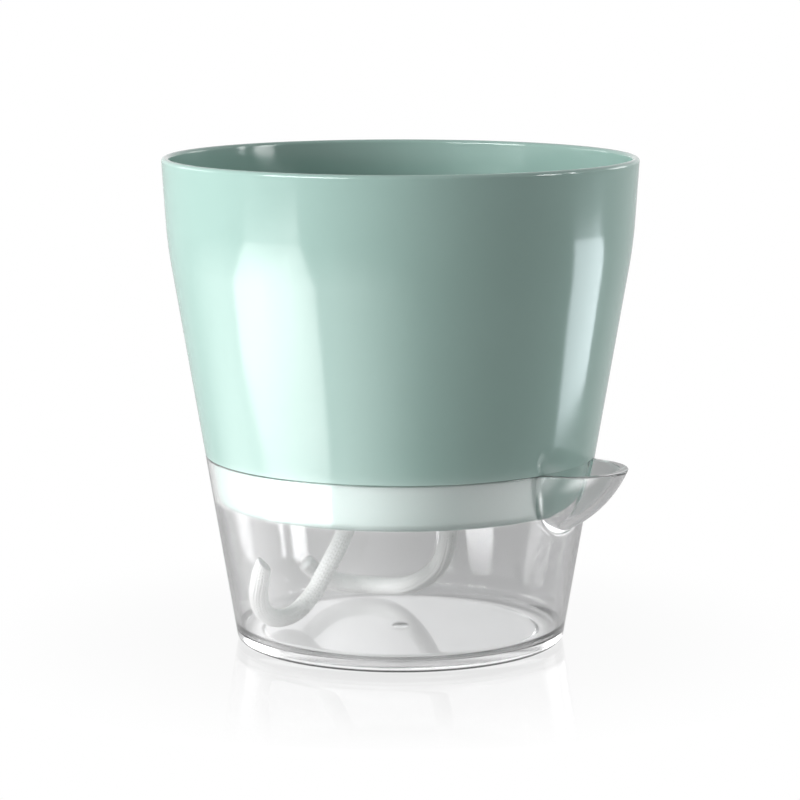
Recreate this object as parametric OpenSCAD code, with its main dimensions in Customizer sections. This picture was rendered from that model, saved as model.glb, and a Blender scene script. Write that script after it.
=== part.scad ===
// Self-watering pot: a tapered grow pot seated on the rim of a clear water reservoir.
// A spout in the reservoir's side takes the water, and a wick cord draws it up into the soil.
// Millimetres, Z up. The origin is the middle of the foot, and the spout points along +X.

/* [Overall] */
// Height from the table to the pot's rim
total_h = 154; // [140:1:180]
// Outer diameter at the pot's rim
rim_d = 150; // [147:1:170]
// Height of the seam, where the pot sits on the reservoir's rim
seam_h = 60; // [54:1:70]
// Outer diameter at the seam
seam_d = 124; // [116:1:132]
// Outer diameter of the reservoir's foot, where the wall's line meets the table
foot_d = 104; // [96:1:112]

/* [Grow pot] */
// Wall thickness of the pot
pot_wall = 2.4; // [1.6:0.1:3]
// Thickness of the pot's floor
pot_floor = 2.4; // [1.6:0.1:4]
// Height at which the flank bends into the steeper collar below the rim
bend_h = 127; // [110:1:132]
// Outer diameter of the pot at that bend
bend_d = 146.6; // [140:0.2:147]
// Radius of that bend
bend_r = 120; // [40:5:150]
// Radius on the outer edge of the ledge that sits on the reservoir
ledge_edge_r = 0.5; // [0.3:0.1:0.8]
// Depth of the skirt that hangs inside the reservoir
skirt_h = 15; // [10:1:20]
// Gap all round between the skirt and the reservoir's wall
skirt_gap = 0.3; // [0.3:0.1:1]
// Radius under the skirt, where it turns into the floor
skirt_corner_r = 3; // [2:0.5:5]
// Number of drain holes in the pot's floor
drain_count = 8; // [4:1:12]
// Diameter of a drain hole
drain_d = 5; // [3:0.5:6]
// Diameter of the ring that the drain holes lie on
drain_ring_d = 76; // [60:1:84]

/* [Water reservoir] */
// Wall thickness of the reservoir
tank_wall = 1.5; // [1.2:0.1:2]
// Thickness of the reservoir's floor
tank_floor = 2.3; // [1.6:0.1:4]
// Height of the foot ring below the floor
foot_h = 1.2; // [0.8:0.1:2]
// Width of the foot ring
foot_w = 5; // [3:0.5:8]
// Radius at the outside of the foot
foot_corner_r = 2.5; // [1:0.5:4]
// Radius inside, where the wall turns into the floor
tank_corner_r = 4; // [2:0.5:6]
// Radius on the outer edge of the reservoir's rim
tank_rim_r = 0.5; // [0.3:0.1:0.8]
// Diameter of the low boss that the moulding gate left in the middle of the floor
gate_d = 7; // [4:0.5:10]
// Diameter of that boss at its top
gate_top_d = 2.8; // [1:0.2:3.6]
// Height of that boss
gate_h = 0.9; // [0.4:0.1:1.2]

/* [Spout] */
// Outer width of the spout at its lip
spout_w = 37.5; // [30:0.5:42]
// Wall thickness of the spout
spout_wall = 2.6; // [1.8:0.1:3]
// Distance from the pot's axis to the tip of the lip
spout_reach = 78.5; // [75:0.5:83]
// Radius of the arc that the spout's underside follows, seen from beside it
spout_arc_r = 39.5; // [36:0.5:46]
// Height of that arc's middle above the rim
spout_arc_rise = 15.8; // [12:0.2:18]

/* [Wick] */
// Diameter of the wick cord
wick_d = 6; // [4:0.5:6.5]
// Gap all round the cord in its two holes
wick_gap = 0.4; // [0.2:0.1:1]
// Distance between the two wick holes
wick_pitch = 35; // [35:1:36]

/* [Hidden] */
$fn = 96;

// Steps in each rounded corner of an outline
arc_steps = 8;
// How far a cut runs past the face that it opens
over = 1;
// Flat strip left between the two rounded edges of the pot's rim
rim_flat = 0.1;
// Radius of the two bends of the pot's inner shoulder, as a share of the shoulder's width
shoulder_share = 0.45;
// Underside of the pot's floor, and upper side of the reservoir's floor
pot_z = seam_h - skirt_h;
tank_floor_z = foot_h + tank_floor;
wick_hole_d = wick_d + 2 * wick_gap;
// How far the axis of pot and reservoir lies behind the origin, which is the middle of the length
axis_back = (spout_reach - rim_d / 2) / 2;
// Flat sides of the cord
wick_sides = 10;

// Points of the wick's middle line, from the cut end of the front tail, up through one hole,
// over the pot's floor, down through the other hole and along the rear of the reservoir
wick_route = [
    [-23.1, -45, 29.5], [-26.4, -41.7, 23.2], [-29.9, -37.3, 17.5], [-31.6, -32.2, 11.1],
    [-30.8, -25.2, 7.2], [-28.8, -17.3, 7.9], [-26, -11.3, 13.1], [-23.2, -8.2, 20],
    [-20.6, -4.9, 27.3], [-18.7, -1.7, 34.5], [-17.5, 0, 42], [-17.5, 0, 49.5],
    [-15.6, 0, 56.6], [-10.8, 0, 61.8], [-4.2, 0, 64], [4.2, 0, 64],
    [10.8, 0, 61.8], [15.6, 0, 56.6], [17.5, 0, 49.5], [17.5, 0, 42],
    [16.2, 2.2, 34.5], [12.7, 6.6, 28.2], [8.5, 11.4, 23], [3.3, 16.7, 18.8],
    [-2.5, 21.9, 15], [-9.2, 26.6, 11.5], [-16.1, 30.5, 8.8], [-24, 33, 7.4],
    [-31.4, 32, 7.2], [-37.7, 27.7, 8.2], [-42.5, 21.7, 11.2], [-45.7, 16, 16.3]
];

function unit(v) = v / norm(v);

// Outer radius of the reservoir's wall at height z
function tank_r(z) = (foot_d + (seam_d - foot_d) * z / seam_h) / 2;

// Outer radius of the pot's flank at height z, between the seam and the bend
function flank_r(z) = (seam_d + (bend_d - seam_d) * (z - seam_h) / (bend_h - seam_h)) / 2;

// Outer radius of the skirt at height z, a gap inside the reservoir's wall
function skirt_r(z) = tank_r(z) - tank_wall - skirt_gap;

// Points of the arc that rounds corner b of the path a, b, c
function corner_arc(a, b, c, r) =
    let (u = unit(a - b), v = unit(c - b), half = acos(u * v) / 2)
    let (middle = b + unit(u + v) * r / sin(half))
    let (from = b + u * r / tan(half) - middle, to = b + v * r / tan(half) - middle)
    let (start = atan2(from.y, from.x), turn = atan2(to.y, to.x) - start)
    let (sweep = turn > 180 ? turn - 360 : turn < -180 ? turn + 360 : turn)
    [for (i = [0 : arc_steps])
        let (angle = start + sweep * i / arc_steps) middle + r * [cos(angle), sin(angle)]];

// An outline from corners given as [x, y, radius], with each corner rounded by its radius
function rounded(corners) =
    let (n = len(corners), at = function (i) let (p = corners[(i + n) % n]) [p.x, p.y])
    [for (i = [0 : n - 1])
        each corners[i].z > 0
            ? corner_arc(at(i - 1), at(i), at(i + 1), corners[i].z)
            : [at(i)]];

// Reservoir

// The tank without its hollow: foot ring, rounded foot, tapered wall and rim
module tank_form() {
    ring_r = tank_r(0) - foot_corner_r - foot_w;
    rotate_extrude()
        polygon(rounded([
            [0, foot_h, 0],
            [ring_r - foot_h, foot_h, 0],
            [ring_r, 0, 0],
            [tank_r(0), 0, foot_corner_r],
            [tank_r(seam_h), seam_h, tank_rim_r],
            [0, seam_h, 0]
        ]));
}

// The water space, open at the top, with the gate's boss left standing on its floor
module tank_hollow() {
    boss_z = tank_floor_z + gate_h;
    rotate_extrude()
        polygon(rounded([
            [0, boss_z, 0],
            [gate_top_d / 2, boss_z, 0],
            [gate_d / 2, tank_floor_z, 0],
            [tank_r(tank_floor_z) - tank_wall, tank_floor_z, tank_corner_r],
            [tank_r(seam_h + over) - tank_wall, seam_h + over, 0],
            [0, seam_h + over, 0]
        ]));
}

// The spout as a round channel that bends outwards and up along an arc, drawn in by inset
module spout_form(inset) {
    arc_x = spout_reach - sqrt(pow(spout_arc_r, 2) - pow(spout_arc_rise, 2));
    translate([arc_x, 0, seam_h + spout_arc_rise])
        rotate([90, 0, 0])
            rotate_extrude()
                translate([spout_arc_r - spout_w / 2, 0])
                    circle(d = spout_w - 2 * inset);
}

// Clear moulded reservoir: tank and spout in one piece, with the mouth open between them
module water_reservoir() {
    color("lightgray", 0.5)
        difference() {
            union() {
                tank_form();
                intersection() {
                    spout_form(0);
                    cylinder(r = spout_reach + over, h = seam_h);
                }
            }
            tank_hollow();
            spout_form(spout_wall);
        }
}

// Grow pot

// Opaque moulded pot: collar, flank, ledge that seats on the reservoir, skirt and pierced floor
module grow_pot() {
    shoulder_z = seam_h + pot_wall;
    inner_floor_z = pot_z + pot_floor;
    rim_r = (pot_wall - rim_flat) / 2;
    shoulder_r = shoulder_share * (tank_wall + skirt_gap);
    color("#A8CDC4")
        difference() {
            rotate_extrude()
                polygon(rounded([
                    [0, pot_z, 0],
                    [skirt_r(pot_z), pot_z, skirt_corner_r],
                    [skirt_r(seam_h), seam_h, 0],
                    [seam_d / 2, seam_h, ledge_edge_r],
                    [bend_d / 2, bend_h, bend_r],
                    [rim_d / 2, total_h, rim_r],
                    [rim_d / 2 - pot_wall, total_h, rim_r],
                    [bend_d / 2 - pot_wall, bend_h, bend_r],
                    [flank_r(shoulder_z) - pot_wall, shoulder_z, shoulder_r],
                    [skirt_r(shoulder_z) - pot_wall, shoulder_z, shoulder_r],
                    [skirt_r(inner_floor_z) - pot_wall, inner_floor_z, skirt_corner_r],
                    [0, inner_floor_z, 0]
                ]));
            for (i = [0 : drain_count - 1])
                rotate(360 * (i + 0.5) / drain_count)
                    translate([drain_ring_d / 2, 0, pot_z - over])
                        cylinder(d = drain_d, h = pot_floor + 2 * over);
            for (side = [-1, 1])
                translate([side * wick_pitch / 2, 0, pot_z - over])
                    cylinder(d = wick_hole_d, h = pot_floor + 2 * over);
        }
}

// Wick

// Direction of the wick at point i of its route
function wick_way(i) =
    unit(wick_route[min(i + 1, len(wick_route) - 1)] - wick_route[max(i - 1, 0)]);

// Sideways direction of ring i, carried along from the ring before it so that the tube has no twist
function wick_side(i) =
    let (before = i == 0 ? [1, 0, 0] : wick_side(i - 1), way = wick_way(i))
    unit(before - way * (before * way));

// Soft cord of cotton, one length threaded through both holes with two free tails
module wick_cord() {
    rings = len(wick_route);
    points = [
        for (i = [0 : rings - 1])
            let (side = wick_side(i), up = cross(wick_way(i), side))
            for (k = [0 : wick_sides - 1])
                let (angle = 360 * k / wick_sides)
                wick_route[i] + wick_d / 2 * (side * cos(angle) + up * sin(angle))
    ];
    walls = [
        for (i = [0 : rings - 2], k = [0 : wick_sides - 1])
            let (a = i * wick_sides + k, b = i * wick_sides + (k + 1) % wick_sides)
            each [[a, a + wick_sides, b], [b, a + wick_sides, b + wick_sides]]
    ];
    ends = [
        [for (k = [0 : wick_sides - 1]) k],
        [for (k = [wick_sides - 1 : -1 : 0]) (rings - 1) * wick_sides + k]
    ];
    color("white")
        polyhedron(points, concat(walls, ends));
}

translate([-axis_back, 0, 0]) {
    water_reservoir();
    grow_pot();
    wick_cord();
}
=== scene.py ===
import math

import bmesh
import bpy
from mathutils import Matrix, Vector
from mathutils.geometry import interpolate_bezier


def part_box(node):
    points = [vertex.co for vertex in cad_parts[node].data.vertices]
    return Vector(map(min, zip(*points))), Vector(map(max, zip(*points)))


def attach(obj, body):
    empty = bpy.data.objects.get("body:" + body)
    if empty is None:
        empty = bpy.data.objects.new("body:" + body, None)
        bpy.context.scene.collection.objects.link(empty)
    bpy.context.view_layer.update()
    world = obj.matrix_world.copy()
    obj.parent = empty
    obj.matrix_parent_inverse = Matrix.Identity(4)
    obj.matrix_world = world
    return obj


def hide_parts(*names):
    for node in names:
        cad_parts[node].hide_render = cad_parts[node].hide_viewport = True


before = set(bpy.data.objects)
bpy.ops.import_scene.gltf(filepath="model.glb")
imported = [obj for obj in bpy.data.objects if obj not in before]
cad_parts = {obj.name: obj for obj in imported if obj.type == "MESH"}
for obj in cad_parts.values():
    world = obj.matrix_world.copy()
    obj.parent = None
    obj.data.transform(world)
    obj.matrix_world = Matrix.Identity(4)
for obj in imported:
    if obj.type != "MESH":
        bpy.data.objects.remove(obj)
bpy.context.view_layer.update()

scene = bpy.context.scene


# Camera
# It stands a little above the rim, turned 30 degrees from square to the spout, with a long lens,
# and looks slightly down at the pot.
axis_x = (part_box("grow_pot")[0].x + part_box("grow_pot")[1].x) / 2
view_azimuth = math.radians(29.5)
view_distance = 0.968
view_height = 0.2277
view_pitch = math.radians(8.88)
photo_pixels = 800
focal_pixels = 3083
camera_data = bpy.data.cameras.new("camera")
camera_data.sensor_width = 36
camera_data.lens = focal_pixels / photo_pixels * camera_data.sensor_width
camera_data.shift_x = -0.0005
camera = bpy.data.objects.new("camera", camera_data)
camera.location = (
    axis_x + view_distance * math.sin(view_azimuth),
    -view_distance * math.cos(view_azimuth),
    view_height,
)
camera.rotation_euler = (math.pi / 2 - view_pitch, 0, view_azimuth)
scene.collection.objects.link(camera)
scene.camera = camera


# Water reservoir
# A clear moulding with a tapered wall, a rounded foot on a narrow ring, and a spout drawn out of the
# wall. It is spun from its outline, and the spout's bent channel then pushes the wall outwards.
tank_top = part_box("water_reservoir")[1].z
tank_seam_radius = 0.062
tank_foot_radius = 0.052
tank_wall = 0.0015
tank_floor_top = 0.0035
tank_floor_fillet = 0.004
foot_ring_radius = 0.0445
foot_ring_height = 0.0012
foot_rounding = 0.0025
lip_rounding = 0.0004
gate_radius = 0.0035
gate_top_radius = 0.0014
gate_height = 0.0009
gate_pit_radius = 0.0006
gate_pit_depth = 0.0001
spout_width = 0.0375
spout_wall = 0.0026
spout_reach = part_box("water_reservoir")[1].x - axis_x
spout_arc_radius = 0.0395
spout_arc_rise = 0.0158
spout_root = 0.034
spout_sector = math.radians(25)
crease_size = 0.0018
wall_cuts = 40
spout_steps = 184
round_steps = 157


def tank_radius(height):
    """Outer radius of the tank's wall at a height."""
    return tank_foot_radius + (tank_seam_radius - tank_foot_radius) * height / tank_top


def outline_edges(bm, corners):
    """A chain of edges through (radius, height) corners, in the plane of X and Z."""
    verts = [bm.verts.new((radius, 0, height)) for radius, height in corners]
    return [bm.edges.new(pair) for pair in zip(verts, verts[1:])]


def spin_outline(bm, edges, sector, steps):
    """Sweeps edges about the Z axis through a sector, and gives the edges that it ends with."""
    verts = list({v for e in edges for v in e.verts})
    swept = bmesh.ops.spin(bm, geom=verts + edges, axis=(0, 0, 1), cent=(0, 0, 0), angle=sector, steps=steps)
    return [g for g in swept["geom_last"] if isinstance(g, bmesh.types.BMEdge)]


def round_ring(bm, before, corner, after, rounding, segments):
    """Rounds the ring that a corner of the outline left, with an arc of the given radius."""
    to_before = (Vector(before) - Vector(corner)).normalized()
    to_after = (Vector(after) - Vector(corner)).normalized()
    half_angle = to_before.angle(to_after) / 2
    ring = [
        e for e in bm.edges
        if all((Vector((v.co.xy.length, v.co.z)) - Vector(corner)).length < 1e-6 for v in e.verts)
    ]
    bmesh.ops.bevel(
        bm, geom=ring, offset=rounding / math.tan(half_angle), offset_type="OFFSET", affect="EDGES",
        segments=segments, profile=0.5, material=-1, clamp_overlap=False,
    )


def finish_piece(name, bm, sharp_angle=math.radians(40)):
    """A smooth object at the origin from a bmesh, with its flat faces kept flat in the shading."""
    bmesh.ops.remove_doubles(bm, verts=bm.verts, dist=1e-7)
    bmesh.ops.recalc_face_normals(bm, faces=bm.faces)
    bmesh.ops.translate(bm, verts=bm.verts, vec=(axis_x, 0, 0))
    mesh = bpy.data.meshes.new(name)
    bm.to_mesh(mesh)
    bm.free()
    mesh.shade_smooth()
    mesh.set_sharp_from_angle(angle=sharp_angle)
    piece = bpy.data.objects.new(name, mesh)
    scene.collection.objects.link(piece)
    even = piece.modifiers.new("even_shading", "WEIGHTED_NORMAL")
    even.keep_sharp = True
    return piece


def spout_wall_radius(angle, height, tank_inset, spout_inset):
    """Radius of the wall at an angle and height, with tank and spout drawn in by their insets."""
    arc_x = spout_reach - math.sqrt(spout_arc_radius ** 2 - spout_arc_rise ** 2)
    arc_z = tank_top + spout_arc_rise
    radius = spout_reach * 1.1
    for step in range(60):
        tank_gap = radius - tank_radius(height) + tank_inset
        channel = math.hypot(radius * math.cos(angle) - arc_x, height - arc_z)
        channel -= spout_arc_radius - spout_width / 2
        spout_gap = math.hypot(channel, radius * math.sin(angle)) - spout_width / 2 + spout_inset
        blend = max(0, crease_size - abs(tank_gap - spout_gap))
        radius -= min(tank_gap, spout_gap) - blend ** 2 / (4 * crease_size)
    return radius


tank_corners = [
    (foot_ring_radius - foot_ring_height, foot_ring_height),
    (foot_ring_radius, 0),
    (tank_foot_radius, 0),
    (tank_radius(spout_root), spout_root),
    (tank_radius(tank_top), tank_top),
    (tank_radius(tank_top) - tank_wall, tank_top),
    (tank_radius(spout_root) - tank_wall, spout_root),
    (tank_radius(tank_floor_top) - tank_wall, tank_floor_top),
    (gate_radius, tank_floor_top),
    (gate_top_radius, tank_floor_top + gate_height),
    (gate_pit_radius, tank_floor_top + gate_height),
    (gate_pit_radius, tank_floor_top + gate_height - gate_pit_depth),
]
bm = bmesh.new()
outline = outline_edges(bm, tank_corners)
outer_wall, inner_wall = outline[3], outline[5]
bmesh.ops.subdivide_edges(bm, edges=[outer_wall, inner_wall], cuts=wall_cuts)
bmesh.ops.rotate(bm, verts=bm.verts, cent=(0, 0, 0), matrix=Vector((1, 0, 0)).rotation_difference(
    Vector((math.cos(spout_sector), -math.sin(spout_sector), 0))).to_matrix())
spout_side = spin_outline(bm, bm.edges[:], 2 * spout_sector, spout_steps)
spin_outline(bm, spout_side, 2 * math.pi - 2 * spout_sector, round_steps)
bmesh.ops.remove_doubles(bm, verts=bm.verts, dist=1e-6)
for v in bm.verts:
    angle = math.atan2(v.co.y, v.co.x)
    if v.co.z > spout_root and abs(angle) <= spout_sector + 1e-4:
        outside = v.co.xy.length > tank_radius(v.co.z) - tank_wall / 2
        insets = (0, 0) if outside else (tank_wall, spout_wall)
        radius = spout_wall_radius(angle, v.co.z, *insets)
        v.co.x = radius * math.cos(angle)
        v.co.y = radius * math.sin(angle)
bmesh.ops.holes_fill(bm, edges=[e for e in bm.edges if e.is_boundary], sides=0)
bmesh.ops.recalc_face_normals(bm, faces=bm.faces)
lip_edges = [
    e for e in bm.edges
    if all(abs(v.co.z - tank_top) < 1e-7 for v in e.verts) and e.calc_face_angle(0) > math.radians(30)
]
bmesh.ops.bevel(
    bm, geom=lip_edges, offset=lip_rounding, offset_type="OFFSET", affect="EDGES",
    segments=5, profile=0.5, material=-1, clamp_overlap=False,
)
round_ring(bm, tank_corners[1], tank_corners[2], tank_corners[3], foot_rounding, 6)
round_ring(bm, tank_corners[6], tank_corners[7], tank_corners[8], tank_floor_fillet, 8)
reservoir = finish_piece("clear_reservoir", bm)

moulded_skin = bpy.data.node_groups.new("moulded_skin", "ShaderNodeTree")
moulded_skin.interface.new_socket("Place", in_out="INPUT", socket_type="NodeSocketVector")
for output in ["Ripple", "Grain", "Rub"]:
    moulded_skin.interface.new_socket(output, in_out="OUTPUT", socket_type="NodeSocketFloat")
nodes, links = moulded_skin.nodes, moulded_skin.links
skin_place = nodes.new("NodeGroupInput")
skin_marks = nodes.new("NodeGroupOutput")
for output, scale, detail in [("Ripple", 30, 0), ("Grain", 1300, 1)]:
    noise = nodes.new("ShaderNodeTexNoise")
    noise.inputs["Scale"].default_value = scale
    noise.inputs["Detail"].default_value = detail
    links.new(skin_place.outputs["Place"], noise.inputs["Vector"])
    links.new(noise.outputs["Fac"], skin_marks.inputs[output])
stretch = nodes.new("ShaderNodeMapping")
stretch.inputs["Scale"].default_value = (60, 60, 900)
links.new(skin_place.outputs["Place"], stretch.inputs["Vector"])
streaks = nodes.new("ShaderNodeTexNoise")
streaks.inputs["Scale"].default_value = 1
streaks.inputs["Detail"].default_value = 3
links.new(stretch.outputs["Vector"], streaks.inputs["Vector"])
worn = nodes.new("ShaderNodeMapRange")
worn.inputs["From Min"].default_value = 0.5
worn.inputs["From Max"].default_value = 0.75
links.new(streaks.outputs["Fac"], worn.inputs["Value"])
links.new(worn.outputs["Result"], skin_marks.inputs["Rub"])


def moulded_surface(material, smooth, rubbed, ripple_depth, grain_depth):
    """Gives a plastic the gloss and the faint unevenness of a moulding, with depths in metres."""
    nodes, links = material.node_tree.nodes, material.node_tree.links
    shader = nodes["Principled BSDF"]
    place = nodes.new("ShaderNodeTexCoord")
    skin = nodes.new("ShaderNodeGroup")
    skin.node_tree = moulded_skin
    links.new(place.outputs["Object"], skin.inputs["Place"])
    gloss = nodes.new("ShaderNodeMapRange")
    gloss.inputs["To Min"].default_value = smooth
    gloss.inputs["To Max"].default_value = rubbed
    links.new(skin.outputs["Rub"], gloss.inputs["Value"])
    links.new(gloss.outputs["Result"], shader.inputs["Roughness"])
    normal = None
    for output, depth in [("Ripple", ripple_depth), ("Grain", grain_depth)]:
        bump = nodes.new("ShaderNodeBump")
        bump.inputs["Distance"].default_value = depth
        links.new(skin.outputs[output], bump.inputs["Height"])
        if normal:
            links.new(normal, bump.inputs["Normal"])
        normal = bump.outputs["Normal"]
    links.new(normal, shader.inputs["Normal"])
    return skin


clear_plastic = bpy.data.materials.new("clear_plastic")
clear_plastic.use_nodes = True
nodes, links = clear_plastic.node_tree.nodes, clear_plastic.node_tree.links
shader = nodes["Principled BSDF"]
shader.inputs["Base Color"].default_value = (0.97, 0.972, 0.975, 1)
moulded_surface(clear_plastic, 0.05, 0.07, 0.00006, 0.0000002)
shader.inputs["IOR"].default_value = 1.49
shader.inputs["Transmission Weight"].default_value = 0.96
lamp_light = nodes.new("ShaderNodeBsdfTransparent")
lamp_light.inputs["Color"].default_value = (0.98, 0.98, 0.98, 1)
path = nodes.new("ShaderNodeLightPath")
mix = nodes.new("ShaderNodeMixShader")
links.new(path.outputs["Is Shadow Ray"], mix.inputs["Fac"])
links.new(shader.outputs["BSDF"], mix.inputs[1])
links.new(lamp_light.outputs["BSDF"], mix.inputs[2])
links.new(mix.outputs["Shader"], nodes["Material Output"].inputs["Surface"])
reservoir.data.materials.append(clear_plastic)
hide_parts("water_reservoir")
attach(reservoir, "reservoir")


# Grow pot
# An opaque mint moulding that sits on the reservoir's rim by its ledge, with a skirt inside the
# reservoir and a pierced floor. It is spun from its outline, and the floor's holes are then cut.
pot_floor_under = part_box("grow_pot")[0].z
pot_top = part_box("grow_pot")[1].z
pot_wall = 0.0024
pot_rim_radius = 0.075
pot_bend_radius = 0.0733
pot_bend_height = 0.127
pot_bend_arc = 0.12
pot_rim_rounding = 0.00115
pot_ledge_rounding = 0.0003
pot_shoulder_rounding = 0.0008
skirt_gap = 0.0003
skirt_rounding = 0.003
drain_count = 8
drain_radius = 0.0025
drain_ring_radius = 0.038
wick_hole_radius = 0.0034
wick_hole_offset = 0.0175
pot_steps = 288


def skirt_radius(height):
    """Outer radius of the skirt at a height, a gap inside the reservoir's wall."""
    return tank_radius(height) - tank_wall - skirt_gap


def flank_radius(height):
    """Outer radius of the pot's flank at a height between the seam and the bend."""
    rise = (height - tank_top) / (pot_bend_height - tank_top)
    return tank_seam_radius + (pot_bend_radius - tank_seam_radius) * rise


shoulder_height = tank_top + pot_wall
pot_floor_top = pot_floor_under + pot_wall
pot_corners = [
    (skirt_radius(pot_floor_under), pot_floor_under, skirt_rounding),
    (skirt_radius(tank_top), tank_top, 0),
    (tank_seam_radius, tank_top, pot_ledge_rounding),
    (pot_bend_radius, pot_bend_height, pot_bend_arc),
    (pot_rim_radius, pot_top, pot_rim_rounding),
    (pot_rim_radius - pot_wall, pot_top, pot_rim_rounding),
    (pot_bend_radius - pot_wall, pot_bend_height, pot_bend_arc),
    (flank_radius(shoulder_height) - pot_wall, shoulder_height, pot_shoulder_rounding),
    (skirt_radius(shoulder_height) - pot_wall, shoulder_height, pot_shoulder_rounding),
    (skirt_radius(pot_floor_top) - pot_wall, pot_floor_top, skirt_rounding),
]
bm = bmesh.new()
outline = outline_edges(bm, [corner[:2] for corner in pot_corners])
spin_outline(bm, outline, 2 * math.pi, pot_steps)
bmesh.ops.remove_doubles(bm, verts=bm.verts, dist=1e-6)
bmesh.ops.holes_fill(bm, edges=[e for e in bm.edges if e.is_boundary], sides=0)
for before, corner, after in zip(
    [(0, pot_floor_under, 0)] + pot_corners, pot_corners, pot_corners[1:] + [(0, pot_floor_top, 0)]
):
    if corner[2] > 0:
        round_ring(bm, before[:2], corner[:2], after[:2], corner[2], 8)
pot = finish_piece("mint_grow_pot", bm)

bm = bmesh.new()
holes = [
    (drain_ring_radius, math.tau * (i + 0.5) / drain_count, drain_radius) for i in range(drain_count)
] + [(wick_hole_offset, 0, wick_hole_radius), (wick_hole_offset, math.pi, wick_hole_radius)]
for ring_radius, angle, hole_radius in holes:
    made = bmesh.ops.create_cone(
        bm, cap_ends=True, segments=32, radius1=hole_radius, radius2=hole_radius, depth=3 * pot_wall)
    hole_x = axis_x + ring_radius * math.cos(angle)
    hole_y = ring_radius * math.sin(angle)
    bmesh.ops.translate(bm, verts=made["verts"], vec=(hole_x, hole_y, pot_floor_under + pot_wall / 2))
hole_mesh = bpy.data.meshes.new("hole_cutter")
bm.to_mesh(hole_mesh)
bm.free()
hole_cutter = bpy.data.objects.new("hole_cutter", hole_mesh)
scene.collection.objects.link(hole_cutter)
cut = pot.modifiers.new("holes", "BOOLEAN")
cut.object = hole_cutter
cut.solver = "EXACT"
pot.modifiers.move(1, 0)
pot.modifiers["even_shading"].show_viewport = False
bpy.context.view_layer.update()
pierced = bpy.data.meshes.new_from_object(pot.evaluated_get(bpy.context.evaluated_depsgraph_get()))
pierced.name = "mint_grow_pot"
pot.modifiers.remove(cut)
pot.modifiers["even_shading"].show_viewport = True
pot.data = pierced
pot.data.set_sharp_from_angle(angle=math.radians(40))
bpy.data.objects.remove(hole_cutter)

mint_plastic = bpy.data.materials.new("mint_plastic")
mint_plastic.use_nodes = True
nodes, links = mint_plastic.node_tree.nodes, mint_plastic.node_tree.links
shader = nodes["Principled BSDF"]
skin = moulded_surface(mint_plastic, 0.1, 0.15, 0.00012, 0.000001)
tint = nodes.new("ShaderNodeMix")
tint.data_type = "RGBA"
tint.inputs["A"].default_value = (0.41, 0.615, 0.555, 1)
tint.inputs["B"].default_value = (0.43, 0.63, 0.575, 1)
links.new(skin.outputs["Ripple"], tint.inputs["Factor"])
links.new(tint.outputs["Result"], shader.inputs["Base Color"])
pot.data.materials.clear()
pot.data.materials.append(mint_plastic)
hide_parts("grow_pot")
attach(pot, "pot")


# Wick
# One length of soft white cotton cord, a knitted tube of fine yarn. It runs up through one hole of the
# pot's floor and down through the other, and both tails lie loose in the water space.
wick_radius = 0.003
wick_route = [
    (-23.1, -45, 29.5), (-26.4, -41.7, 23.2), (-29.9, -37.3, 17.5), (-31.6, -32.2, 11.1),
    (-30.8, -25.2, 7.2), (-28.8, -17.3, 7.9), (-26, -11.3, 13.1), (-23.2, -8.2, 20),
    (-20.6, -4.9, 27.3), (-18.7, -1.7, 34.5), (-17.5, 0, 42), (-17.5, 0, 49.5),
    (-15.6, 0, 56.6), (-10.8, 0, 61.8), (-4.2, 0, 64), (4.2, 0, 64),
    (10.8, 0, 61.8), (15.6, 0, 56.6), (17.5, 0, 49.5), (17.5, 0, 42),
    (16.2, 2.2, 34.5), (12.7, 6.6, 28.2), (8.5, 11.4, 23), (3.3, 16.7, 18.8),
    (-2.5, 21.9, 15), (-9.2, 26.6, 11.5), (-16.1, 30.5, 8.8), (-24, 33, 7.4),
    (-31.4, 32, 7.2), (-37.7, 27.7, 8.2), (-42.5, 21.7, 11.2), (-45.7, 16, 16.3),
]
millimetre = 0.001
ring_spacing = 0.00026
wick_sides = 80
column_count = 10
stitch_pitch = 0.0013
stitch_depth = 0.0006
fray_length = 0.006
fray_slant = -0.0022


def smooth_line(points, spacing):
    """Evenly spaced points on a smooth curve through the given points."""
    ends = [2 * points[0] - points[1]] + points + [2 * points[-1] - points[-2]]
    fine = []
    for before, start, end, after in zip(ends, ends[1:], ends[2:], ends[3:]):
        span = interpolate_bezier(start, start + (end - before) / 6, end - (after - start) / 6, end, 40)
        fine += span if not fine else span[1:]
    line, needed = [fine[0]], spacing
    for start, end in zip(fine, fine[1:]):
        step = (end - start).length
        while needed <= step:
            line.append(start.lerp(end, needed / step))
            needed += spacing
        needed -= step
    return line


def knit_height(around, along):
    """Height of the knitted surface above its ground, at turns around and stitches along the cord."""
    leg = abs(around * column_count % 1 - 0.5) * 2
    loop = math.cos(math.pi * (along + 0.8 * leg)) ** 2
    rib = math.sqrt(1 - 0.9 * (2 * leg - 1) ** 2)
    return rib * (0.35 + 0.65 * loop)


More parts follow.
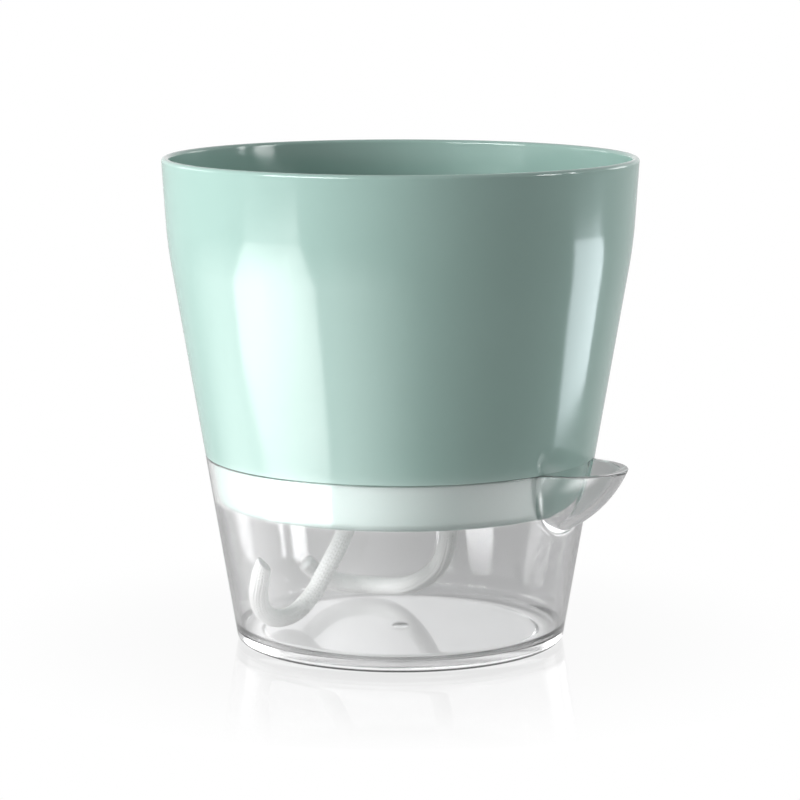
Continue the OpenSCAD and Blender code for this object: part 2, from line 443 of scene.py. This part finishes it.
wick_line = smooth_line([Vector(p) * millimetre + Vector((axis_x, 0, 0)) for p in wick_route], ring_spacing)
bm = bmesh.new()
ways = [(b - a).normalized() for a, b in zip([wick_line[0]] + wick_line, wick_line[1:] + [wick_line[-1]])]
side = ways[0].orthogonal().normalized()
raised = bm.verts.layers.float.new("raised")
rings = []
for i, (middle, way) in enumerate(zip(wick_line, ways)):
    side = (side - way * side.dot(way)).normalized()
    up = way.cross(side)
    fray = max(0, 1 - i * ring_spacing / fray_length)
    ring = []
    for k in range(wick_sides):
        turn = k / wick_sides
        height = knit_height(turn, i * ring_spacing / stitch_pitch)
        radius = (wick_radius - stitch_depth * (1 - height)) * (1 - 0.3 * fray ** 2)
        lift = way * fray_slant * fray ** 4 * math.cos(math.tau * turn)
        ring.append(bm.verts.new(
            middle + lift + radius * (side * math.cos(math.tau * turn) + up * math.sin(math.tau * turn))))
        ring[-1][raised] = height
    rings.append(ring)
for ring, after in zip(rings, rings[1:]):
    for k in range(wick_sides):
        bm.faces.new((ring[k], ring[(k + 1) % wick_sides], after[(k + 1) % wick_sides], after[k]))
bm.faces.new(rings[0])
bm.faces.new(rings[-1])
bmesh.ops.recalc_face_normals(bm, faces=bm.faces)
wick_mesh = bpy.data.meshes.new("cotton_wick")
bm.to_mesh(wick_mesh)
bm.free()
wick_mesh.shade_smooth()
wick = bpy.data.objects.new("cotton_wick", wick_mesh)
scene.collection.objects.link(wick)

cotton = bpy.data.materials.new("cotton")
cotton.use_nodes = True
nodes, links = cotton.node_tree.nodes, cotton.node_tree.links
shader = nodes["Principled BSDF"]
shader.inputs["Roughness"].default_value = 0.9
shader.inputs["Sheen Weight"].default_value = 0.15
# The cotton is mixed towards grey where the surface lies low between the stitches: painted shade in the
# crevices.
stitch = nodes.new("ShaderNodeAttribute")
stitch.attribute_name = "raised"
yarn_and_crevice_shade = nodes.new("ShaderNodeMix")
yarn_and_crevice_shade.data_type = "RGBA"
yarn_and_crevice_shade.inputs["A"].default_value = (0.58, 0.59, 0.59, 1)
yarn_and_crevice_shade.inputs["B"].default_value = (0.95, 0.95, 0.935, 1)
links.new(stitch.outputs["Fac"], yarn_and_crevice_shade.inputs["Factor"])
links.new(yarn_and_crevice_shade.outputs["Result"], shader.inputs["Base Color"])
place = nodes.new("ShaderNodeTexCoord")
fibres = nodes.new("ShaderNodeTexNoise")
fibres.inputs["Scale"].default_value = 3500
fibres.inputs["Detail"].default_value = 2
links.new(place.outputs["Object"], fibres.inputs["Vector"])
fuzz = nodes.new("ShaderNodeBump")
fuzz.inputs["Distance"].default_value = 0.00008
links.new(fibres.outputs["Fac"], fuzz.inputs["Height"])
links.new(fuzz.outputs["Normal"], shader.inputs["Normal"])
wick.data.materials.append(cotton)
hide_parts("wick_cord")
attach(wick, "pot")


# Floor
# A plain white table top with a faint gloss, in which the foot of the reservoir is mirrored. Seen through
# the clear plastic, its glow carries a painted shadow: dark right about the foot, grey out to a third of a
# metre.
floor_size = 12
floor_zone = 0.4
mirror_strength = 0.22
bm = bmesh.new()
bmesh.ops.create_grid(bm, x_segments=1, y_segments=1, size=floor_size / 2)
floor_mesh = bpy.data.meshes.new("floor")
bm.to_mesh(floor_mesh)
bm.free()
floor = bpy.data.objects.new("floor", floor_mesh)
floor.location.x = axis_x
scene.collection.objects.link(floor)
white_table = bpy.data.materials.new("white_table")
white_table.cycles.emission_sampling = "NONE"
white_table.use_nodes = True
nodes, links = white_table.node_tree.nodes, white_table.node_tree.links
place = nodes.new("ShaderNodeTexCoord")
reach = nodes.new("ShaderNodeVectorMath")
reach.operation = "LENGTH"
links.new(place.outputs["Object"], reach.inputs[0])
zone = nodes.new("ShaderNodeMapRange")
zone.inputs["From Max"].default_value = floor_zone
links.new(reach.outputs["Value"], zone.inputs["Value"])


def ring_values(stops):
    """A value that changes with the distance from the pot's axis, given as (distance, value) stops."""
    ramp = nodes.new("ShaderNodeValToRGB")
    ramp.color_ramp.interpolation = "EASE"
    for i, (distance, value) in enumerate(stops):
        stop = ramp.color_ramp.elements[i] if i < 2 else ramp.color_ramp.elements.new(1)
        stop.position = distance / floor_zone
        stop.color = (value, value, value, 1)
    links.new(zone.outputs["Result"], ramp.inputs["Fac"])
    return ramp.outputs["Color"]


shader = nodes["Principled BSDF"]
shader.inputs["Base Color"].default_value = (0.8, 0.8, 0.8, 1)
shader.inputs["Roughness"].default_value = 0.6
shader.inputs["Specular IOR Level"].default_value = 0
path = nodes.new("ShaderNodeLightPath")
near = nodes.new("ShaderNodeMath")
near.operation = "MULTIPLY"
links.new(path.outputs["Is Camera Ray"], near.inputs[0])
links.new(ring_values([(0.045, 0.95), (0.056, 1)]), near.inputs[1])
unscattered = nodes.new("ShaderNodeMath")
unscattered.operation = "LESS_THAN"
unscattered.inputs[1].default_value = 0.5
links.new(path.outputs["Diffuse Depth"], unscattered.inputs[0])
through = nodes.new("ShaderNodeMath")
through.operation = "MULTIPLY"
links.new(path.outputs["Is Transmission Ray"], through.inputs[0])
links.new(unscattered.outputs["Value"], through.inputs[1])
whiteness = nodes.new("ShaderNodeMath")
whiteness.operation = "MAXIMUM"
links.new(near.outputs["Value"], whiteness.inputs[0])
links.new(through.outputs["Value"], whiteness.inputs[1])
white = nodes.new("ShaderNodeEmission")
shade_through_glass = nodes.new("ShaderNodeMix")
shade_through_glass.inputs["A"].default_value = 1
links.new(through.outputs["Value"], shade_through_glass.inputs["Factor"])
# Painted shadow: through the clear plastic the table glows less in a ring about the foot and in a grey zone
# around the pot, and fully white far off.
painted_shadow_through_glass = ring_values([
    (0.0455, 0.78), (0.048, 0.32), (0.053, 0.32), (0.062, 0.4), (0.34, 0.4), (0.395, 1)])
links.new(painted_shadow_through_glass, shade_through_glass.inputs["B"])
links.new(shade_through_glass.outputs["Result"], white.inputs["Strength"])
lit = nodes.new("ShaderNodeMixShader")
links.new(whiteness.outputs["Value"], lit.inputs["Fac"])
links.new(shader.outputs["BSDF"], lit.inputs[1])
links.new(white.outputs["Emission"], lit.inputs[2])
gloss = nodes.new("ShaderNodeBsdfGlossy")
gloss.inputs["Roughness"].default_value = 0.05
mirrored = nodes.new("ShaderNodeMixShader")
links.new(ring_values([(0.05, mirror_strength), (0.15, 0)]), mirrored.inputs["Fac"])
links.new(lit.outputs["Shader"], mirrored.inputs[1])
links.new(gloss.outputs["BSDF"], mirrored.inputs[2])
links.new(mirrored.outputs["Shader"], nodes["Material Output"].inputs["Surface"])
floor.data.materials.append(white_table)
floor.visible_glossy = False
floor.visible_shadow = False


# Studio light
# Large soft lamps light the pot from the left, with a weaker fill from the right and above. Two lamps
# light the cord alone, for what the clear wall takes from it. Panels that gloss and clear plastic
# alone show give the pot its long highlights.
pot_middle = Vector((axis_x, 0, 0.08))


def studio_place(azimuth, elevation, distance):
    """A point around the pot, with azimuth counted to the right from the camera, in degrees."""
    turn = view_azimuth - math.pi / 2 + math.radians(azimuth)
    rise = math.radians(elevation)
    level = distance * math.cos(rise)
    out = Vector((level * math.cos(turn), level * math.sin(turn), distance * math.sin(rise)))
    return pot_middle + out


def aim_at_pot(lamp, place):
    """Stands a lamp at a place, facing the middle of the pot."""
    lamp.location = place
    lamp.rotation_euler = (pot_middle - place).to_track_quat("-Z", "Y").to_euler()


for name, azimuth, elevation, distance, width, height, watts in [
    ("key_lamp", -68, 13, 1.3, 0.9, 0.9, 19.5),
    ("right_lamp", 115, 18, 1.3, 0.9, 0.9, 6.5),
    ("top_lamp", 40, 60, 1.3, 0.9, 0.9, 1.5),
    ("low_lamp", 128, -12, 1.3, 0.9, 0.9, 5.5),
    ("wick_lamp", -10, 9, 1.3, 1.8, 0.8, 16),
    ("wick_rear_lamp", 170, 9, 1.3, 1.8, 0.8, 11),
]:
    lamp_data = bpy.data.lights.new(name, "AREA")
    lamp_data.shape = "RECTANGLE"
    lamp_data.size = width
    lamp_data.size_y = height
    lamp_data.energy = watts
    lamp = bpy.data.objects.new(name, lamp_data)
    scene.collection.objects.link(lamp)
    aim_at_pot(lamp, studio_place(azimuth, elevation, distance))
    lamp.visible_camera = False
    lamp.visible_glossy = False
    lamp.visible_transmission = False
    if name.startswith("wick"):
        lit_alone = bpy.data.collections.new("lit_by_" + name)
        lit_alone.objects.link(wick)
        lamp.light_linking.receiver_collection = lit_alone

panel_distance = 8
strip_distance = 0.3
glow_height = 0.0002
glow_parts = 6
edge_points = 32


def finish_panel(name, bm, strength, colour):
    """A panel that gloss and clear plastic alone show, as bright as its vertices' fade value says."""
    panel_mesh = bpy.data.meshes.new(name)
    bm.to_mesh(panel_mesh)
    bm.free()
    panel = bpy.data.objects.new(name, panel_mesh)
    scene.collection.objects.link(panel)
    glow = bpy.data.materials.new(name)
    glow.cycles.emission_sampling = "NONE"
    glow.use_nodes = True
    nodes, links = glow.node_tree.nodes, glow.node_tree.links
    nodes.clear()
    inside = nodes.new("ShaderNodeAttribute")
    inside.attribute_name = "fade"
    edge = nodes.new("ShaderNodeMapRange")
    edge.interpolation_type = "SMOOTHSTEP"
    edge.inputs["To Max"].default_value = strength
    links.new(inside.outputs["Fac"], edge.inputs["Value"])
    path = nodes.new("ShaderNodeLightPath")
    unscattered = nodes.new("ShaderNodeMath")
    unscattered.operation = "LESS_THAN"
    unscattered.inputs[1].default_value = 0.5
    links.new(path.outputs["Diffuse Depth"], unscattered.inputs[0])
    power = nodes.new("ShaderNodeMath")
    power.operation = "MULTIPLY"
    links.new(edge.outputs["Result"], power.inputs[0])
    links.new(unscattered.outputs["Value"], power.inputs[1])
    light = nodes.new("ShaderNodeEmission")
    light.inputs["Color"].default_value = colour
    links.new(power.outputs["Value"], light.inputs["Strength"])
    clear = nodes.new("ShaderNodeBsdfTransparent")
    both = nodes.new("ShaderNodeAddShader")
    links.new(light.outputs["Emission"], both.inputs[0])
    links.new(clear.outputs["BSDF"], both.inputs[1])
    output = nodes.new("ShaderNodeOutputMaterial")
    links.new(both.outputs["Shader"], output.inputs["Surface"])
    panel.data.materials.append(glow)
    panel.visible_camera = False
    panel.visible_diffuse = False
    panel.visible_shadow = False
    return panel


for name, strength, colour, soft, corners in [
    ("left_panel", 5, (1, 1, 1, 1), 0.1, [
        (-50, -10.8), (-81, -10.6), (-97.5, -20.2), (-89, -23.4), (-52, -27.9), (-41, -28.2), (-45, -20)]),
    ("left_core", 3.6, (1, 1, 1, 1), 0.75, [
        (-48, -13), (-84, -13), (-97, -20.5), (-89, -23.8), (-52, -28.4), (-38, -28.6)]),
    ("right_panel", 5.6, (0.86, 0.95, 1, 1), 0.06, [
        (92.5, -10.6), (112, -9), (116, -9.3), (120, -11.6), (123.4, -17), (101.5, -21.3), (97.5, -19.4)]),
    ("front_softbox", 13, (1, 1, 1, 1), 0.03, [(-25, 29), (-68, 29), (-68, 3.7), (-25, 6.3)]),
    ("right_strip", 14, (1, 1, 1, 1), 0.04, [(81, 24), (69, 24), (69, 2.4), (81, 1.6)]),
    ("thin_strip", 12, (1, 1, 1, 1), 0.05, [(95, 24), (88, 24), (88, 1.6), (91, 0.8)]),
    ("rear_strip", 3, (1, 1, 1, 1), 0.15, [(137, 16), (118, 16), (118, -4), (137, -4)]),
    ("left_rear", 2.5, (1, 1, 1, 1), 0.15, [(-98, 16), (-133, 16), (-133, -4), (-98, -4)]),
]:
    bm = bmesh.new()
    fade = bm.verts.layers.float.new("fade")
    middle = Vector([sum(values) / len(corners) for values in zip(*corners)])
    outer, inner = [], []
    for corner in corners:
        outer.append(bm.verts.new(studio_place(*corner, panel_distance)))
        inner.append(bm.verts.new(studio_place(*middle.lerp(Vector(corner), 1 - soft), panel_distance)))
        inner[-1][fade] = 1
    for i in range(len(corners)):
        bm.faces.new((outer[i - 1], outer[i], inner[i], inner[i - 1]))
    bm.faces.new(inner)
    finish_panel(name, bm, strength, colour)

for name, strength, azimuth, elevation, half_wide, half_high in [
    ("left_glow", 3.2, -100, -23, 45, 16),
    ("front_glow", 2.6, -35, -29, 55, 17),
    ("spout_glow", 12, 30, -46, 48, 15),
]:
    bm = bmesh.new()
    fade = bm.verts.layers.float.new("fade")
    middle = bm.verts.new(studio_place(azimuth, elevation, panel_distance))
    middle[fade] = 1
    edge = []
    for i in range(edge_points):
        turn = math.tau * i / edge_points
        aside, above = half_wide * math.cos(turn), half_high * math.sin(turn)
        edge.append(bm.verts.new(studio_place(azimuth + aside, elevation + above, panel_distance)))
    for i in range(edge_points):
        bm.faces.new((middle, edge[i - 1], edge[i]))
    finish_panel(name, bm, strength, (1, 1, 1, 1))


def mirrored_table(turn, height):
    """The spot of the table that the reservoir's wall mirrors to the camera at a turn and a height."""
    way = view_azimuth - math.pi / 2 + math.radians(turn)
    lean = math.atan2(tank_seam_radius - tank_foot_radius, tank_top)
    out = Vector((math.cos(way), math.sin(way), 0))
    spot = Vector((axis_x, 0, height)) + out * tank_radius(height)
    sight = (spot - camera.location).normalized()
    sight = sight.reflect(out * math.cos(lean) - Vector((0, 0, math.sin(lean))))
    return spot - sight * (spot.z / sight.z)


bm = bmesh.new()
fade = bm.verts.layers.float.new("fade")
rows = []
shares = [
    (-78, 0.1), (-68, 0.2), (-58, 0.28), (-45, 0.5), (-42, 1), (-21.5, 1), (-19.5, 0.52), (-10, 0.48),
    (0, 0.42), (8, 0.38), (16, 0.33), (26, 0.36), (36, 0.38), (48, 0.3), (60, 0),
]
for (turn, share), (next_turn, next_share) in zip(shares, shares[1:]):
    for part in range(glow_parts):
        row = []
        for height, value in [(0.0451, 0), (0.0465, 1), (0.052, 1), (0.0597, 1), (0.0602, 0)]:
            spot = mirrored_table(turn + (next_turn - turn) * part / glow_parts, height)
            row.append(bm.verts.new((spot.x, spot.y, glow_height)))
            row[-1][fade] = value * (share + (next_share - share) * part / glow_parts)
        rows.append(row)
for row, after in zip(rows, rows[1:]):
    for i in range(4):
        bm.faces.new((row[i], row[i + 1], after[i + 1], after[i]))
finish_panel("table_glow", bm, 8, (1, 1, 1, 1))

bm = bmesh.new()
fade = bm.verts.layers.float.new("fade")
columns = []
for azimuth, share in [(130, 0), (132, 1), (150, 1), (152, 0)]:
    spot = studio_place(azimuth, 0, strip_distance)
    columns.append([bm.verts.new((spot.x, spot.y, height)) for height in (0.001, 0.1)])
    for vert in columns[-1]:
        vert[fade] = share
for column, after in zip(columns, columns[1:]):
    bm.faces.new((column[0], column[1], after[1], after[0]))
side_strip = finish_panel("side_strip", bm, 2.5, (1, 1, 1, 1))
side_strip.visible_glossy = False

world = bpy.data.worlds.new("studio")
scene.world = world
world.use_nodes = True
nodes, links = world.node_tree.nodes, world.node_tree.links
ambient = nodes["Background"]
ambient.inputs["Color"].default_value = (1, 1, 1, 1)
path = nodes.new("ShaderNodeLightPath")
seen = nodes.new("ShaderNodeMath")
seen.operation = "MAXIMUM"
links.new(path.outputs["Is Glossy Ray"], seen.inputs[0])
links.new(path.outputs["Is Transmission Ray"], seen.inputs[1])
unscattered = nodes.new("ShaderNodeMath")
unscattered.operation = "LESS_THAN"
unscattered.inputs[1].default_value = 0.5
links.new(path.outputs["Diffuse Depth"], unscattered.inputs[0])
mirrored = nodes.new("ShaderNodeMath")
mirrored.operation = "MULTIPLY"
links.new(seen.outputs["Value"], mirrored.inputs[0])
links.new(unscattered.outputs["Value"], mirrored.inputs[1])
level = nodes.new("ShaderNodeMapRange")
level.inputs["To Min"].default_value = 0.07
links.new(mirrored.outputs["Value"], level.inputs["Value"])
way = nodes.new("ShaderNodeTexCoord")
rise = nodes.new("ShaderNodeSeparateXYZ")
links.new(way.outputs["Generated"], rise.inputs["Vector"])
above = nodes.new("ShaderNodeMapRange")
above.inputs["From Min"].default_value = -0.08
above.inputs["From Max"].default_value = 0.02
above.inputs["To Min"].default_value = 0.6
links.new(rise.outputs["Z"], above.inputs["Value"])
links.new(above.outputs["Result"], level.inputs["To Max"])
white = nodes.new("ShaderNodeMath")
white.operation = "MAXIMUM"
links.new(level.outputs["Result"], white.inputs[0])
links.new(path.outputs["Is Camera Ray"], white.inputs[1])
links.new(white.outputs["Value"], ambient.inputs["Strength"])

scene.view_settings.view_transform = "Standard"
